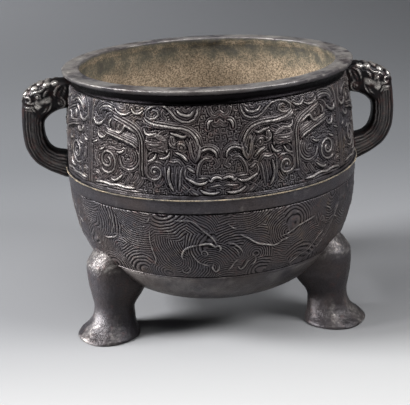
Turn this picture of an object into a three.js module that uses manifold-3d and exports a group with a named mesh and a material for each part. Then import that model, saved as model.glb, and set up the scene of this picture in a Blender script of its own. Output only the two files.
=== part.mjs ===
// Bronze ding: a round tripod cauldron with two beast-headed loop handles, cast as one piece.
// Millimetres, +Z up. The front mask faces -Y, the handles lie along X and the third leg is at +Y.
import * as THREE from 'three';
import { mergeVertices } from 'three/addons/utils/BufferGeometryUtils.js';
import Module from 'manifold-3d';

// Bowl
const HEIGHT = 198; // floor to rim
const RIM_RADIUS = 110; // outer edge of the lip
const RIM_EASE = 0.7; // worn edge of the lip
const LIP_THICKNESS = 3.8;
const MOUTH_RADIUS = 96.6; // inner edge of the lip
const WALL = 4.8; // thickness of the cast wall
const NECK_DROP = 0.9; // how far the plain neck stands behind the frieze's crests
const BELLY_RADIUS = 111; // widest part of the plain wall
const BELLY_Z = 118; // height of the widest part
const BELLY_DEPTH = 98.5; // from the widest part down to the underside
const BELLY_POWER_Z = 2.45; // the belly is a superellipse, fuller than an ellipse
const BELLY_POWER_R = 2.9;
const NECK_RADIUS = 103.3; // outside of the neck under the lip
const SHOULDER_POWER = 1.6; // how the wall draws in from the belly to the neck
const BASE_ROWS = 5; // profile rows under the lower frieze
const HOLLOW_ROWS = 6; // profile rows of the hollow's belly
const SEGMENTS = 40; // facets round the bowl

// Bands round the bowl, by height
const LOWER_FRIEZE = [59.4, 112.5];
const UPPER_FRIEZE = [124.6, 187];
const PLAIN_BAND_PROUD = 0.5; // plain band between the friezes
const RIDGE_Z = 122.3; // raised cord above the plain band
const RIDGE_RADIUS = 113;
const RIDGE_HALF_HEIGHT = 1.6;
const GROUND_SUNK = 0.9; // ground of the upper frieze behind the plain wall line
const BASE_SUNK = 0.6; // smooth base behind the lower frieze

// Legs: centre distance, radial and side half-widths at each height, from sole to belly
const LEG_ANGLES = [-60, 60, 180];
const LEG_SIDES = 12;
const LEG_FULLNESS = 2.25; // superellipse power of a leg's section
const LEG_SECTIONS = [
  { z: 0, centre: 101.2, radial: 23.0, side: 23.6 },
  { z: 2.4, centre: 100.7, radial: 22.4, side: 23.0 },
  { z: 8, centre: 98.0, radial: 18.2, side: 18.8 },
  { z: 15, centre: 95.6, radial: 15.6, side: 16.0 },
  { z: 23, centre: 94.4, radial: 15.2, side: 15.0 },
  { z: 32, centre: 91.4, radial: 19.6, side: 17.2 },
  { z: 40, centre: 89.6, radial: 22.6, side: 19.4 },
  { z: 51, centre: 91.2, radial: 21.6, side: 19.2 },
  { z: 60, centre: 90.9, radial: 20.6, side: 18.4 },
  { z: 67, centre: 90.0, radial: 17.0, side: 16.0 },
  { z: 73, centre: 88.0, radial: 9.0, side: 9.0 },
];

// Handles: outer and inner edge of the loop in its own plane, as [distance from the axis, height]
const HANDLE_OUTER = [
  [101.5, 189.6], [116, 189.8], [129, 186.6], [137, 182.2], [141, 175.4], [142.8, 164],
  [143.5, 151], [142, 138], [136.4, 127], [127, 119.6], [115, 113.8], [106, 110.6],
];
const HANDLE_INNER = [
  [102.5, 167.6], [112.5, 166.8], [119, 164.2], [123.6, 160.6], [125.8, 157.6], [126.6, 154],
  [126.6, 150], [125.9, 145], [123.4, 139.2], [119, 135.4], [112.6, 133.8], [105, 133],
];
const HANDLE_HALF_WIDTHS = [9.5, 10.4, 10.6, 10.2, 9.6, 8.4, 8.2, 8.2, 8.2, 8.6, 9.2, 9.4];
const HANDLE_STEPS = 10;
// One side of the loop's section: share of the depth from outer to inner edge, share of the width
const HANDLE_SECTION = [
  [0.02, 0.55], [0.16, 0.95], [0.36, 1.0], [0.46, 0.84], [0.56, 1.0], [0.66, 0.84],
  [0.78, 0.98], [0.98, 0.6],
];
// The beast's jaw: a raised lip across the loop, as shares of the way along the loop
const JAW_LIP = [0.335, 0.375];
const JAW_PROUD = 1.09; // size of the lip against the loop's section
// Raised forms of the beast's head: distance from the axis, side offset, height and half-sizes
const HEAD_LUMPS = [
  { at: [138.4, 5.4, 179.4], size: [3.4, 3.0, 3.2] }, // nostrils
  { at: [131.0, 8.4, 183.2], size: [3.6, 2.8, 2.8] }, // eyes
  { at: [120.6, 9.4, 184.4], size: [5.6, 2.6, 4.6] }, // ears
  { at: [125.0, 3.4, 188.0], size: [6.0, 3.0, 2.4] }, // mane
];

// Upper frieze. A stroke lies on the wall: s is the distance round from the mask's centre line,
// t the height above the frieze's lower edge, both measured on a cylinder of FRIEZE_RADIUS.
const FRIEZE_RADIUS = 107.9;
const PANEL_HALF_ANGLE = 55.5; // half of the front panel, in degrees
const STROKE_ROOT = 1.2; // how deep a stroke is rooted in the wall
const STROKE_TIP = 0.35; // width at a stroke's ends against its middle
const BOSS_SIDES = 7;

// The vessel's axis is moved so that the origin is the middle of the object's own footprint.
const FOOT_REACH = LEG_SECTIONS[0].centre + LEG_SECTIONS[0].radial;
const AXIS_Y = (RIDGE_RADIUS - FOOT_REACH) / 2;

const BRONZE = new THREE.MeshStandardMaterial({ color: 0x3a322e, roughness: 0.5, metalness: 0.85 });

const wasm = await Module();
wasm.setup();

/** Half-width of the belly at a height: a superellipse below the widest part. */
function bellyRadius(z) {
  const down = Math.min(Math.abs(BELLY_Z - z) / BELLY_DEPTH, 1);
  return BELLY_RADIUS * (1 - down ** BELLY_POWER_Z) ** (1 / BELLY_POWER_R);
}

/** Radius of the plain outer wall at a height, without bands or relief. */
function wallRadius(z) {
  if (z < RIDGE_Z) {
    return bellyRadius(z);
  }
  const up = (z - RIDGE_Z) / (HEIGHT - LIP_THICKNESS - RIDGE_Z);
  return BELLY_RADIUS - (BELLY_RADIUS - NECK_RADIUS) * up ** SHOULDER_POWER;
}

/** Turns a closed geometry into a solid with its faces pointing out. */
function solidFrom(geometry) {
  const bare = geometry.clone();
  bare.deleteAttribute('normal');
  bare.deleteAttribute('uv');
  const merged = mergeVertices(bare, 1e-4);
  const points = merged.attributes.position.array;
  const corners = [];
  for (let i = 0; i < merged.index.count; i += 3) {
    const [a, b, c] = merged.index.array.slice(i, i + 3);
    if (a !== b && b !== c && c !== a) {
      corners.push(a, b, c);
    }
  }
  if (signedVolume(points, corners) < 0) {
    corners.reverse();
  }
  const triVerts = new Uint32Array(corners);
  const vertProperties = new Float32Array(points);
  return new wasm.Manifold(new wasm.Mesh({ numProp: 3, vertProperties, triVerts }));
}

/** Six times the volume enclosed by a triangle list; its sign tells which way the faces point. */
function signedVolume(points, corners) {
  const vertex = (i) => new THREE.Vector3().fromArray(points, 3 * i);
  let total = 0;
  for (let i = 0; i < corners.length; i += 3) {
    const [a, b, c] = corners.slice(i, i + 3).map(vertex);
    total += a.dot(b.cross(c));
  }
  return total;
}

/** Closed skin over a row of rings with equal point counts, capped flat at both ends. */
function loft(rings) {
  const count = rings[0].length;
  const points = rings.flat();
  const index = [];
  for (let r = 0; r + 1 < rings.length; r += 1) {
    for (let i = 0; i < count; i += 1) {
      const a = r * count + i;
      const b = r * count + ((i + 1) % count);
      index.push(a, b, b + count);
      index.push(a, b + count, a + count);
    }
  }
  for (const end of [0, rings.length - 1]) {
    const hub = new THREE.Vector3();
    rings[end].forEach((p) => hub.addScaledVector(p, 1 / count));
    points.push(hub);
    const first = end * count;
    for (let i = 0; i < count; i += 1) {
      const pair = [first + i, first + ((i + 1) % count)];
      if (end === 0) {
        pair.reverse();
      }
      index.push(points.length - 1, ...pair);
    }
  }
  const geometry = new THREE.BufferGeometry().setFromPoints(points);
  geometry.setIndex(index);
  return geometry;
}

/** Solid of revolution about Z from [radius, height] points that start and end on the axis. */
function turned(profile) {
  const points = profile.map(([r, z]) => new THREE.Vector2(r, z));
  return solidFrom(new THREE.LatheGeometry(points, SEGMENTS).rotateX(Math.PI / 2));
}

/** Evenly spaced values from a to b. */
function spread(a, b, steps) {
  return Array.from({ length: steps + 1 }, (_, i) => a + ((b - a) * i) / steps);
}

/** Heights down the belly, closer together where it turns under. */
function bellyHeights(top, bottom, steps) {
  return spread(0, Math.PI / 2, steps).map((a) => top - (top - bottom) * Math.sin(a));
}

/** Outside of the bowl, filled up to the rim. */
function bowlOutside() {
  const underside = BELLY_Z - BELLY_DEPTH;
  const base = bellyHeights(LOWER_FRIEZE[0], underside, BASE_ROWS).reverse();
  const shoulder = spread(UPPER_FRIEZE[0], UPPER_FRIEZE[1], 2);
  const profile = [
    ...base.map((z) => [Math.max(wallRadius(z) - (z > underside ? BASE_SUNK : 0), 0), z]),
    ...spread(LOWER_FRIEZE[0] + 0.4, LOWER_FRIEZE[1], 3).map((z) => [wallRadius(z), z]),
    [wallRadius(LOWER_FRIEZE[1]) + PLAIN_BAND_PROUD, LOWER_FRIEZE[1] + 0.5],
    [wallRadius(RIDGE_Z) + PLAIN_BAND_PROUD, RIDGE_Z - RIDGE_HALF_HEIGHT],
    [RIDGE_RADIUS, RIDGE_Z - RIDGE_HALF_HEIGHT / 3],
    [RIDGE_RADIUS, RIDGE_Z + RIDGE_HALF_HEIGHT / 3],
    ...shoulder.map((z) => [wallRadius(z) - GROUND_SUNK, z]),
    [NECK_RADIUS - NECK_DROP, HEIGHT - LIP_THICKNESS],
    [RIM_RADIUS, HEIGHT - LIP_THICKNESS],
    [RIM_RADIUS, HEIGHT - RIM_EASE],
    [RIM_RADIUS - RIM_EASE, HEIGHT],
    [0, HEIGHT],
  ];
  return turned(profile);
}

/** The hollow of the bowl, open upwards through the mouth. */
function bowlInside() {
  const top = HEIGHT - LIP_THICKNESS - 4;
  const depth = BELLY_DEPTH - WALL;
  const floor = bellyHeights(BELLY_Z, BELLY_Z - depth, HOLLOW_ROWS).reverse();
  const inner = (z) => {
    const down = Math.min((BELLY_Z - z) / depth, 1);
    const share = (1 - down ** BELLY_POWER_Z) ** (1 / BELLY_POWER_R);
    return (BELLY_RADIUS - WALL) * share;
  };
  return turned([
    ...floor.map((z) => [inner(z), z]),
    ...spread(BELLY_Z, top, 2).slice(1).map((z) => [wallRadius(z) - WALL - GROUND_SUNK / 2, z]),
    [MOUTH_RADIUS, HEIGHT - LIP_THICKNESS],
    [MOUTH_RADIUS, HEIGHT + LIP_THICKNESS],
    [0, HEIGHT + LIP_THICKNESS],
  ]);
}

/** Point at an angle from the front, a distance from the axis and a height. */
function around(angle, radius, z) {
  return new THREE.Vector3(radius * Math.sin(angle), -radius * Math.cos(angle), z);
}

/** One cabriole leg: superelliptic sections from a flared flat foot up into the belly. */
function leg(angle) {
  const turn = THREE.MathUtils.degToRad(angle);
  const soften = (v) => Math.sign(v) * Math.abs(v) ** (2 / LEG_FULLNESS);
  const rings = LEG_SECTIONS.map(({ z, centre, radial, side }) => (
    spread(0, 2 * Math.PI, LEG_SIDES).slice(0, -1).map((a) => {
      const out = centre + radial * soften(Math.cos(a));
      const across = side * soften(Math.sin(a));
      return new THREE.Vector3(across, -out, z).applyAxisAngle(new THREE.Vector3(0, 0, 1), turn);
    })
  ));
  return solidFrom(loft(rings));
}

/** Smooth curve through [a, b] pairs. */
function smooth(pairs) {
  const points = pairs.map(([a, b]) => new THREE.Vector3(a, b, 0));
  return new THREE.CatmullRomCurve3(points, false, 'centripetal');
}

/** Value of a list at a share of its length, between its entries in a straight line. */
function along(list, share) {
  const at = share * (list.length - 1);
  const i = Math.min(Math.floor(at), list.length - 2);
  return list[i] + (list[i + 1] - list[i]) * (at - i);
}

/** Ribbed section of the handle at a share of the way along it, drawn larger by a factor. */
function handleSection(share, grow) {
  const outer = smooth(HANDLE_OUTER).getPoint(share);
  const inner = smooth(HANDLE_INNER).getPoint(share);
  const half = along(HANDLE_HALF_WIDTHS, share) * grow;
  const place = (depth, width) => {
    const q = 0.5 + (depth - 0.5) * grow;
    return new THREE.Vector3(
      outer.x + (inner.x - outer.x) * q,
      width * half,
      outer.y + (inner.y - outer.y) * q,
    );
  };
  const near = HANDLE_SECTION.map(([depth, width]) => place(depth, -width));
  const far = HANDLE_SECTION.map(([depth, width]) => place(depth, width)).reverse();
  return [...near, ...far];
}

/** A low ellipsoid. */
function lump([x, y, z], [a, b, c]) {
  const ball = new THREE.SphereGeometry(1, 6, 4);
  return solidFrom(ball.rotateX(Math.PI / 2).scale(a, b, c).translate(x, y, z));
}

/** Loop handle on the +X side, with the beast's head at its top. */
function handle() {
  const rings = spread(0, 1, HANDLE_STEPS).map((share) => handleSection(share, 1));
  let solid = solidFrom(loft(rings));
  const lip = JAW_LIP.map((share) => handleSection(share, JAW_PROUD));
  solid = solid.add(solidFrom(loft(lip)));
  for (const { at: [x, y, z], size } of HEAD_LUMPS) {
    solid = solid.add(lump([x, y, z], size));
    solid = solid.add(lump([x, -y, z], size));
  }
  return solid;
}

/** Curve of a spiral in s and t, from one radius to another round a centre. */
function spiral([s, t], [from, to], startDegrees, turns) {
  const steps = Math.max(Math.round(Math.abs(turns) * 6), 3);
  return smooth(spread(0, 1, steps).map((share) => {
    const a = THREE.MathUtils.degToRad(startDegrees + 360 * turns * share);
    const r = from + (to - from) * share;
    return [s + r * Math.cos(a), t + r * Math.sin(a)];
  }));
}

// Main strokes of half a mask panel: curve, width, height and the number of facets along it.
const NOSTRIL = smooth([[3, 28], [6, 32], [10, 32.6], [15, 29.5]]);
const MUZZLE = smooth([[8, 26], [14, 23], [17, 13], [12, 9]]);
const BROW = smooth([[14, 33], [17, 39], [25, 45], [40, 48.5], [53, 52]]);
const HORN = smooth([[13, 61], [15, 53], [24, 49.8], [33, 55], [44, 60.6], [53, 55]]);
const CHEEK_SCROLL = spiral([45, 15.5], [7.4, 2.4], 120, -1.25);
const SIDE_SCROLL = spiral([63, 24], [6, 2.4], 60, 0.9);
const MASK_STROKES = [
  { curve: NOSTRIL, width: 3.4, height: 1.5, facets: 4 },
  { curve: MUZZLE, width: 3.2, height: 1.4, facets: 4 },
  { curve: BROW, width: 5, height: 1.7, facets: 6 },
  { curve: HORN, width: 4.6, height: 1.7, facets: 8 },
  { curve: CHEEK_SCROLL, width: 3.2, height: 1.5, facets: 8 },
  { curve: SIDE_SCROLL, width: 3.2, height: 1.4, facets: 6 },
];

// Main strokes of the dragon beside the mask: the side panels repeat them in mirror image.
const DRAGON_BROW = smooth([[55, 42], [60, 47], [70, 51], [82, 51.5]]);
const DRAGON_JAW = smooth([[58, 31], [64, 36], [75, 39], [88, 42]]);
const DRAGON_CREST = smooth([[70, 57], [78, 62], [88, 63.4], [97, 57], [96, 47]]);
const DRAGON_COIL = spiral([84, 21], [9, 2.8], 150, -1.3);
const DRAGON_STROKES = [
  { curve: DRAGON_BROW, width: 4.4, height: 1.6, facets: 4 },
  { curve: DRAGON_JAW, width: 4.4, height: 1.6, facets: 4 },
  { curve: DRAGON_CREST, width: 4.6, height: 1.7, facets: 6 },
  { curve: DRAGON_COIL, width: 3.8, height: 1.6, facets: 9 },
];

// Raised eyes: middle, radius and height.
const MASK_BOSSES = [{ at: [26, 36], radius: 4.2, height: 2.0 }];
const DRAGON_BOSSES = [{ at: [74.5, 46], radius: 3.2, height: 1.7 }];

/** Point of the upper frieze, standing out from the frieze's ground; flip gives the panel. */
function onFrieze(s, t, proud, flip) {
  const z = UPPER_FRIEZE[0] + t;
  return around(flip(s / FRIEZE_RADIUS), wallRadius(z) - GROUND_SUNK + proud, z);
}

/** A raised stroke with a ridged section, tapered at both ends. */
function stroke({ curve, width, height, facets }, flip) {
  const rings = spread(0, 1, facets).map((share) => {
    const p = curve.getPoint(share);
    const tangent = curve.getTangent(share);
    const taper = STROKE_TIP + (1 - STROKE_TIP) * Math.sin(Math.PI * share) ** 0.5;
    const half = (width / 2) * taper;
    const [ds, dt] = [-tangent.y * half, tangent.x * half];
    return [
      onFrieze(p.x + ds, p.y + dt, -STROKE_ROOT, flip),
      onFrieze(p.x - ds, p.y - dt, -STROKE_ROOT, flip),
      onFrieze(p.x, p.y, height * taper, flip),
    ];
  });
  return solidFrom(loft(rings));
}

/** A low round boss with a flat top. */
function boss({ at: [s, t], radius, height }, flip) {
  const ring = (r, proud) => spread(0, 2 * Math.PI, BOSS_SIDES).slice(0, -1).map((a) => (
    onFrieze(s + r * Math.cos(a), t + r * Math.sin(a), proud, flip)
  ));
  return solidFrom(loft([ring(radius * 1.1, -STROKE_ROOT), ring(radius * 0.6, height)]));
}

/** All raised strokes of the upper frieze: four mask halves, and a dragon on each side of them. */
function maskRelief() {
  const border = THREE.MathUtils.degToRad(2 * PANEL_HALF_ANGLE);
  const quarters = [(a) => a, (a) => -a, (a) => Math.PI - a, (a) => Math.PI + a];
  const solids = [];
  for (const quarter of quarters) {
    const mirrored = (a) => quarter(border - a);
    for (const item of [...MASK_STROKES, ...DRAGON_STROKES]) {
      solids.push(stroke(item, quarter));
    }
    for (const item of [...MASK_BOSSES, ...DRAGON_BOSSES]) {
      solids.push(boss(item, quarter));
    }
    for (const item of DRAGON_STROKES) {
      solids.push(stroke(item, mirrored));
    }
    for (const item of DRAGON_BOSSES) {
      solids.push(boss(item, mirrored));
    }
  }
  return solids;
}

/** The whole casting: bowl, relief, legs and handles joined, then hollowed. */
function casting() {
  const handleSolid = handle();
  const left = handleSolid.mirror([1, 0, 0]);
  const added = [handleSolid, left, ...LEG_ANGLES.map(leg), ...maskRelief()];
  let solid = bowlOutside();
  for (const piece of added) {
    solid = solid.add(piece);
  }
  return solid.subtract(bowlInside());
}

/** Geometry of a solid. */
function geometryOf(solid) {
  const { vertProperties, triVerts } = solid.getMesh();
  const geometry = new THREE.BufferGeometry();
  geometry.setAttribute('position', new THREE.BufferAttribute(vertProperties, 3));
  geometry.setIndex(new THREE.BufferAttribute(triVerts, 1));
  geometry.computeVertexNormals();
  return geometry;
}

const vessel = new THREE.Mesh(geometryOf(casting()), BRONZE);
vessel.name = 'ding_vessel';
vessel.position.set(0, AXIS_Y, 0);

const ding = new THREE.Group();
ding.add(vessel);

export default ding;
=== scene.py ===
"""Bronze ding: a round cauldron on three legs, with two beast-headed loop handles."""
import math

import bpy
import numpy as np
from bpy.props import FloatProperty, FloatVectorProperty, PointerProperty
from mathutils import Matrix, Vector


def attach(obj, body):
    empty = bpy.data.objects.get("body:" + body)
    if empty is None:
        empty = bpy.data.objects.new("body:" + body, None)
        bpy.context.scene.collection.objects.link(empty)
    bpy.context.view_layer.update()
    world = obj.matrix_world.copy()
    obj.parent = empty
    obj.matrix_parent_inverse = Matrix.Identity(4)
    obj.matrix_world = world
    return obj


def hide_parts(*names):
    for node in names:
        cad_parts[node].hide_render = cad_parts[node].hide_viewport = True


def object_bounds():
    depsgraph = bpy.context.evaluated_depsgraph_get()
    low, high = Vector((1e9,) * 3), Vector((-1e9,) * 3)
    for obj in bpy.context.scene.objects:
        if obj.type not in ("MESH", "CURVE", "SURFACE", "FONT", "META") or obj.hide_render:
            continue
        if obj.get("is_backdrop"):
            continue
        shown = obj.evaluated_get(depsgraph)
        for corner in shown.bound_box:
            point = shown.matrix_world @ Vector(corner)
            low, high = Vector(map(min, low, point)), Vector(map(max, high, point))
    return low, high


bl_info = {
    "name": "Bronze Ding",
    "version": (1, 0, 0),
    "blender": (4, 5, 0),
    "location": "3D View > Sidebar > Ding",
    "description": "A tripod bronze cauldron with cast mask and wave friezes",
    "category": "Add Mesh",
}

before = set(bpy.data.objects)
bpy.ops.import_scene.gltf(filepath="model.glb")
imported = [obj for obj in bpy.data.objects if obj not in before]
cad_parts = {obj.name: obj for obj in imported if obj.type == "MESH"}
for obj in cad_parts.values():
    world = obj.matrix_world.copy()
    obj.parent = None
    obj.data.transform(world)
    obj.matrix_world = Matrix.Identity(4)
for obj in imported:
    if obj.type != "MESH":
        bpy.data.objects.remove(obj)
CAD_LOW, CAD_HIGH = (np.array(corner, float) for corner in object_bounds())

# Sizes below are in millimetres about the vessel's own axis, with the floor at z = 0.
# A place on a frieze is (s, t): s along the wall from a panel's middle, t up from its lower edge.
MM = 1000  # millimetres in a metre
WALL_THICKNESS = 4.8
BELLY_Z = 118.0  # height of the belly's widest part
BELLY_DEPTH = 98.5  # from there down to the underside
BELLY_POWERS = 2.45, 2.9  # of the height and of the radius
SHOULDER_DROP = 7.7
SHOULDER_POWER = 1.6
RIDGE_Z = 122.3  # raised cord between the friezes
RIDGE_REACH = 113.0  # radius of the cord, the vessel's foremost part
LIP_Z = 194.2  # underside of the lip
BASE_TOP = 59.0  # upper edge of the smooth base
BASE_SUNK = 0.6  # how far the base stands back
WAVE_FRIEZE = 60.6, 111.9  # lowest and highest row of the lower frieze
WAVE_FOOT = 58.0  # height at which t is 0 on the lower frieze
WAVE_SUNK = 0.4
MASK_FRIEZE = 125.2, 186.8  # lowest and highest row of the upper frieze
MASK_FOOT = 124.6  # height at which t is 0 on the upper frieze
GROUND_SUNK = 0.9  # ground of the upper frieze behind the plain wall
PANEL_SCALE = 107.9  # radius on which s is measured
PANEL_HALF = 55.5  # half of the front panel, in degrees
PANEL_REACH = 104.5  # the same along the wall
SLAB_DEPTH = 1.1  # from a frieze's ground to its plain back
TUCK = 0.9  # width of a frieze's edge that dips under the next band
LINE_TAPER = 4.5  # how far from its ends a raised line is full
ECHO_PITCH = 1.6  # from one fine line round a drawn line to the next
ECHO_REACH = 2.1  # how far from a drawn line they end
RIPPLE_PITCH = 1.65  # from one ring of the waves to the next

# Height, distance from the axis, half-depth and half-width of the leg's sections
LEG_ROWS = [
    (0, 101.2, 22.2, 22.8), (0.7, 101.2, 22.9, 23.5), (2.8, 100.6, 22.2, 22.8), (8, 98.0, 18.2, 18.8),
    (15, 95.6, 15.6, 16.0), (23, 94.4, 15.2, 15.0), (32, 91.4, 19.6, 17.2), (40, 89.6, 22.6, 19.4),
    (50, 91.2, 21.7, 19.3), (56.5, 91.3, 21.2, 18.8), (61.5, 90.9, 19.4, 17.5), (66, 90.2, 16.4, 15.4),
    (70, 89.2, 12.4, 12.2), (73, 88.0, 8.0, 8.0),
]
LEG_FULLNESS = 2.25
LEG_ANGLES = {"leg_front_left": -60, "leg_front_right": 60, "leg_back": 180}

# Outer and inner edge of the handle's loop as (distance from the axis, height), and its half-width
HANDLE_OUTER = [
    (101.5, 189.6), (116, 189.8), (129, 186.6), (137, 182.2), (141, 175.4), (142.8, 164),
    (143.4, 151), (142, 138), (136.4, 127), (127, 119.6), (115, 113.8), (107.6, 111.2),
]
HANDLE_INNER = [
    (102.5, 167.6), (112.5, 166.8), (119, 164.2), (123.6, 160.6), (125.8, 157.6), (126.6, 154),
    (126.6, 150), (125.9, 145), (123.4, 139.2), (119, 135.4), (112.6, 133.8), (107.4, 133.2),
]
HANDLE_HALF = [9.5, 10.4, 10.6, 10.2, 9.6, 8.4, 8.2, 8.2, 8.2, 8.6, 9.2, 9.4]
HANDLE_FULLNESS = 3.0
RIB_DEPTHS = 0.26, 0.38, 0.5, 0.62, 0.74, 0.86

# Studio, in metres: a row of low beams, and the camera's place from the vessel's axis and the floor
LOW_BEAMS = 13
LOW_BEAM_STEP = 0.25
CAMERA_PLACE = -0.0492, -0.7599, 0.3423

# Sections of a raised line: (offset to its left, half-width, height) of each ridge
FINE = ((0, 0.6, 0.8),)
THIN = ((0, 0.8, 1.05),)
BOLD = ((0, 1.02, 1.65),)
TWIN = ((0, 0.92, 1.6), (1.85, 0.5, 1.05))
TRIPLE = ((0, 0.9, 1.55), (1.8, 0.5, 1.15), (3.3, 0.5, 1.05))
BACK = ((-1.95, 0.65, 1.0), (0, 0.8, 1.2), (1.95, 0.65, 1.0))


# ------------------------------------------------------------------ curves and height fields

def trace(points, steps=7):
    """Smooth line through points: a Catmull-Rom spline, steps samples from each point to the next."""
    p = np.asarray(points, float)
    p = np.vstack([2 * p[0] - p[1], p, 2 * p[-1] - p[-2]])
    u = np.linspace(0, 1, steps, endpoint=False)[None, :, None]
    a, b, c, d = (q[:, None, :] for q in (p[:-3], p[1:-2], p[2:-1], p[3:]))
    bend = 2 * b + (c - a) * u + (2 * a - 5 * b + 4 * c - d) * u**2 + (3 * b - a - 3 * c + d) * u**3
    return np.vstack([bend.reshape(-1, p.shape[1]) / 2, p[-2]])


def even(rows, count):
    """The same line with count points spaced evenly by its length, measured in its first two columns."""
    walked = np.concatenate([[0], np.cumsum(np.hypot(*np.diff(rows[:, :2], axis=0).T))])
    at = np.linspace(0, walked[-1], count)
    return np.stack([np.interp(at, walked, column) for column in rows.T], -1)


def ease(value, low, high):
    """Smooth step: 0 below low, 1 above high, 3x^2 - 2x^3 between them."""
    x = np.clip((value - low) / (high - low), 0, 1)
    return x * x * (3 - 2 * x)


def grain(points, size, seed):
    """Value noise from -1 to 1: random values at the corners of a lattice of this size, blended
    between the corners with 3x^2 - 2x^3 along each axis."""
    low = np.floor(points / size).astype(np.int64)
    part = points / size - low
    part = part * part * (3 - 2 * part)
    values = np.random.default_rng(seed).uniform(-1, 1, 4096)
    total = np.zeros(points.shape[:-1])
    for corner in np.ndindex(2, 2, 2):
        weight = np.prod(np.where(corner, part, 1 - part), axis=-1)
        total += weight * values[((low + corner) @ (73, 179, 283)) % 4096]
    return total


def stamp(field, s, t, points, section, gap=None):
    """Raises a line in a height field. Each ridge is half an ellipse across the signed distance from
    the line: height * sqrt(1 - (distance / half-width)^2). Towards the ends both sizes shrink by
    0.25 + 0.75 * sqrt(distance from the end / taper). Where a gap field is given, it keeps the
    smallest distance from the edge of any line. A line of a dozen points or more isn't smoothed."""
    line = trace(points) if len(points) < 12 else np.asarray(points, float)
    spread = max(abs(offset) + half for offset, half, _ in section)
    spread += 0.3 if gap is None else ECHO_REACH
    low, high = line.min(0) - spread, line.max(0) + spread
    near = np.nonzero((s > low[0]) & (s < high[0]) & (t > low[1]) & (t < high[1]))
    if not len(near[0]):
        return
    rel = np.stack([s[near], t[near]], -1)[:, None] - line[None, :-1]
    step = np.diff(line, axis=0)
    size = np.hypot(*step.T)
    share = np.clip((rel * step).sum(-1) / size**2, 0, 1)
    off = rel - share[..., None] * step
    best = np.hypot(off[..., 0], off[..., 1]).argmin(1)
    pick = np.arange(len(best)), best
    side = np.sign(step[best, 0] * rel[pick][:, 1] - step[best, 1] * rel[pick][:, 0])
    distance = np.hypot(*off[pick].T) * side
    walked = np.concatenate([[0], np.cumsum(size)])[best] + share[pick] * size[best]
    walked_off = np.abs((off[pick] * step[best]).sum(-1)) / size[best]
    end = np.clip(np.minimum(walked, size.sum() - walked) / LINE_TAPER, 0, 1)
    grow = 0.25 + 0.75 * np.sqrt(end)
    for offset, half, height in section:
        if gap is not None:
            gap[near] = np.minimum(gap[near], np.hypot(distance - offset, walked_off) - half)
        x = (distance - offset) / (half * grow)
        field[near] = np.maximum(field[near], height * grow * np.sqrt(np.clip(1 - x**2, 0, None)))


def pad(field, s, t, points, height, soft=0.8):
    """Raises a flat area inside a closed outline; its edge falls off over the soft width."""
    line = trace(np.vstack([points, points[:1]]))
    a, b = line[:-1], line[1:]
    low, high = line.min(0), line.max(0)
    near = np.nonzero((s > low[0]) & (s < high[0]) & (t > low[1]) & (t < high[1]))
    x, y = s[near][:, None], t[near][:, None]
    rise = np.where(b[:, 1] == a[:, 1], 1e-9, b[:, 1] - a[:, 1])
    cross = (a[:, 1] > y) != (b[:, 1] > y)
    inside = (cross & (x < a[:, 0] + (y - a[:, 1]) * (b[:, 0] - a[:, 0]) / rise)).sum(1) % 2 == 1
    depth = np.where(inside, np.hypot(x - a[:, 0], y - a[:, 1]).min(1), 0)
    field[near] = np.maximum(field[near], height * ease(depth, 0, soft))


def dome(distance, radius, height):
    """Height of a boss: height * sqrt(1 - (distance / radius)^2)."""
    return height * np.sqrt(np.clip(1 - (distance / radius) ** 2, 0, None))


def fuller(v, power):
    """Sine or cosine v of an angle made over for a superellipse: sign(v) * |v|^(2 / power)."""
    return np.sign(v) * np.abs(v) ** (2 / power)


def about_axis(angle, r, z):
    """Points round the vessel's axis: (r sin a, -r cos a, z), with the angle a from the front."""
    return np.stack(np.broadcast_arrays(r * np.sin(angle), -r * np.cos(angle), z), -1)


def arc(middle, radius, start, end, count=14):
    """Points of an arc: middle + radius * (cos, sin), from the start to the end angle in degrees."""
    a = np.radians(np.linspace(start, end, count))
    return np.stack([middle[0] + radius * np.cos(a), middle[1] + radius * np.sin(a)], -1)


def spiral(middle, inner, outer, start, turns):
    """Points of an even spiral: the radius grows from inner to outer in proportion to the turn."""
    share = np.linspace(0, 1, int(abs(turns) * 14) + 2)
    a = np.radians(start + 360 * turns * share)
    r = inner + (outer - inner) * share
    return np.stack([middle[0] + r * np.cos(a), middle[1] + r * np.sin(a)], -1)


def thunder(s, t, pitch=1.35, cell=4.7):
    """Thunder pattern: a square spiral in each cell, its neighbours turning the other way. The phase
    is the larger distance from the cell's middle, over the pitch, plus the turn round the middle."""
    i = np.floor(s / cell)
    j = np.floor(t / cell + 0.5 * (i % 2))
    u = s - (i + 0.5) * cell
    v = t - (j + 0.5 - 0.5 * (i % 2)) * cell
    turn = np.arctan2(v, u * np.where((i + j) % 2 == 0, 1, -1)) / (2 * np.pi)
    return 0.5 + 0.5 * np.cos(2 * np.pi * (np.maximum(np.abs(u), np.abs(v)) / pitch + turn))


# ------------------------------------------------------------------ meshes

def outward(points):
    """Unit normals of a closed skin of rings: the cross product of its two directions, turned so
    that the volume they enclose is positive. Returns the normals and the sign of the turn."""
    along = np.gradient(points, axis=0)
    round_it = np.roll(points, -1, 1) - np.roll(points, 1, 1)
    normal = np.cross(round_it, along)
    middle = points.reshape(-1, 3).mean(0)
    sign = 1.0 if ((points - middle) * normal).sum() > 0 else -1.0
    length = np.linalg.norm(normal, axis=-1, keepdims=True)
    return sign * normal / np.maximum(length, 1e-9), sign


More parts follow.
